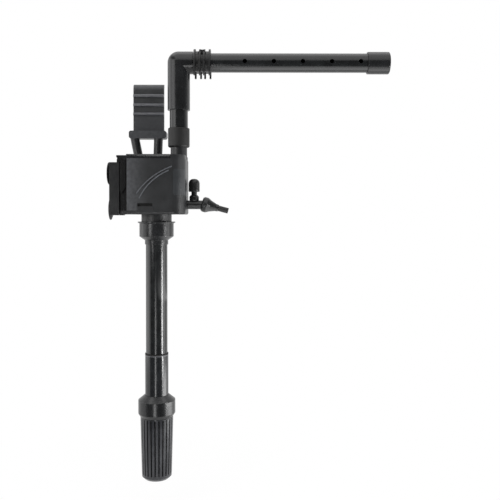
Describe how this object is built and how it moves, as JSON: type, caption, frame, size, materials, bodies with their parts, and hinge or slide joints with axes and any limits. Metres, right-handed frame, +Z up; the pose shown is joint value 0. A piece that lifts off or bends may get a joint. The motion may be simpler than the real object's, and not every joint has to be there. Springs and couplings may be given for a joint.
{
  "type": "aquarium filter pump",
  "caption": "Hang-on submersible aquarium filter pump with rim hook, riser and spray bar, telescopic intake with slotted strainer, suction bracket and a valved side nozzle.",
  "frame": {"origin": "middle of the rim seat, the flat underside of the hook's bend that sits on the tank's rim", "axes": "+X along the spray bar away from the riser, +Y out of the tank towards the hook's rear plate, +Z up"},
  "size_m": [0.2798, 0.0695, 0.4271],
  "materials": {
    "shell_plastic": "moulded ABS, fine satin grain",
    "tube_plastic": "extruded and moulded tube plastic, semi-gloss",
    "fitting_plastic": "moulded nylon, satin",
    "black_rubber": "moulded soft rubber, dull",
    "lamination_steel": "stamped silicon steel sheets",
    "copper_wire": "enamelled copper wire",
    "bobbin_nylon": "natural nylon",
    "casting_resin": "cast epoxy resin",
    "ferrite": "sintered ferrite, ground",
    "impeller_plastic": "moulded pale acetal",
    "shaft_ceramic": "polished alumina",
    "washer_plastic": "turned PTFE"
  },
  "bodies": {
    "root": {"rim_hook": "shell_plastic", "top_cover": "shell_plastic", "pump_housing": "shell_plastic", "lead_gland": "black_rubber", "stator_core": "lamination_steel", "coil_bobbins": "bobbin_nylon", "stator_coils": "copper_wire", "potting_resin": "casting_resin", "rotor_shaft": "shaft_ceramic", "upper_bush": "black_rubber", "thrust_washers": "washer_plastic", "riser_collar": "tube_plastic", "riser_tube": "tube_plastic", "side_tube": "fitting_plastic"},
    "rotor": {"rotor_magnet": "ferrite", "impeller": "impeller_plastic"},
    "base": {"base_cover": "shell_plastic", "base_gasket": "black_rubber", "lower_bush": "black_rubber", "intake_reducer": "tube_plastic", "intake_tube": "tube_plastic"},
    "lower_intake": {"lower_tube": "tube_plastic", "strainer_head": "tube_plastic"},
    "strainer": {"strainer_cage": "tube_plastic"},
    "elbow": {"elbow": "tube_plastic"},
    "bar": {"spray_bar": "tube_plastic"},
    "clip": {"bar_clip": "shell_plastic"},
    "cap": {"end_cap": "tube_plastic"},
    "valve": {"valve_plug": "fitting_plastic", "valve_knob": "fitting_plastic"},
    "nozzle": {"side_nozzle": "fitting_plastic", "nozzle_tip": "black_rubber"},
    "bracket": {"suction_bracket": "shell_plastic", "upper_cup": "black_rubber", "lower_cup": "black_rubber"}
  },
  "joints": [
    {"name": "rotor_spin", "type": "hinge", "parent": "root", "child": "rotor", "pos_m": [0.011, -0.033, -0.1], "axis": [0, 0, 1], "continuous": true},
    {"name": "base_release", "type": "slide", "parent": "root", "child": "base", "axis": [0, 0, -1], "range_m": [0, 0.03]},
    {"name": "telescope", "type": "slide", "parent": "base", "child": "lower_intake", "axis": [0, 0, 1], "range_m": [-0.02, 0.06]},
    {"name": "strainer_pull", "type": "slide", "parent": "lower_intake", "child": "strainer", "axis": [0, 0, -1], "range_m": [0, 0.03]},
    {"name": "elbow_swing", "type": "hinge", "parent": "root", "child": "elbow", "pos_m": [0.0333, -0.033, 0], "axis": [0, 0, 1], "continuous": true},
    {"name": "bar_turn", "type": "hinge", "parent": "elbow", "child": "bar", "pos_m": [0.05, -0.033, 0.0198], "axis": [1, 0, 0], "continuous": true},
    {"name": "clip_turn", "type": "hinge", "parent": "bar", "child": "clip", "pos_m": [0.058, -0.033, 0.0198], "axis": [1, 0, 0], "continuous": true},
    {"name": "cap_pull", "type": "slide", "parent": "bar", "child": "cap", "axis": [1, 0, 0], "range_m": [0, 0.025]},
    {"name": "valve_turn", "type": "hinge", "parent": "root", "child": "valve", "pos_m": [0.0485, -0.033, -0.11], "axis": [0, 0, 1], "range_deg": [0, 90]},
    {"name": "nozzle_swivel", "type": "hinge", "parent": "root", "child": "nozzle", "pos_m": [0.0562, -0.033, -0.1214], "axis": [1, 0, 0], "continuous": true},
    {"name": "bracket_slide", "type": "slide", "parent": "root", "child": "bracket", "axis": [0, 0, -1], "range_m": [0, 0.045]}
  ]
}
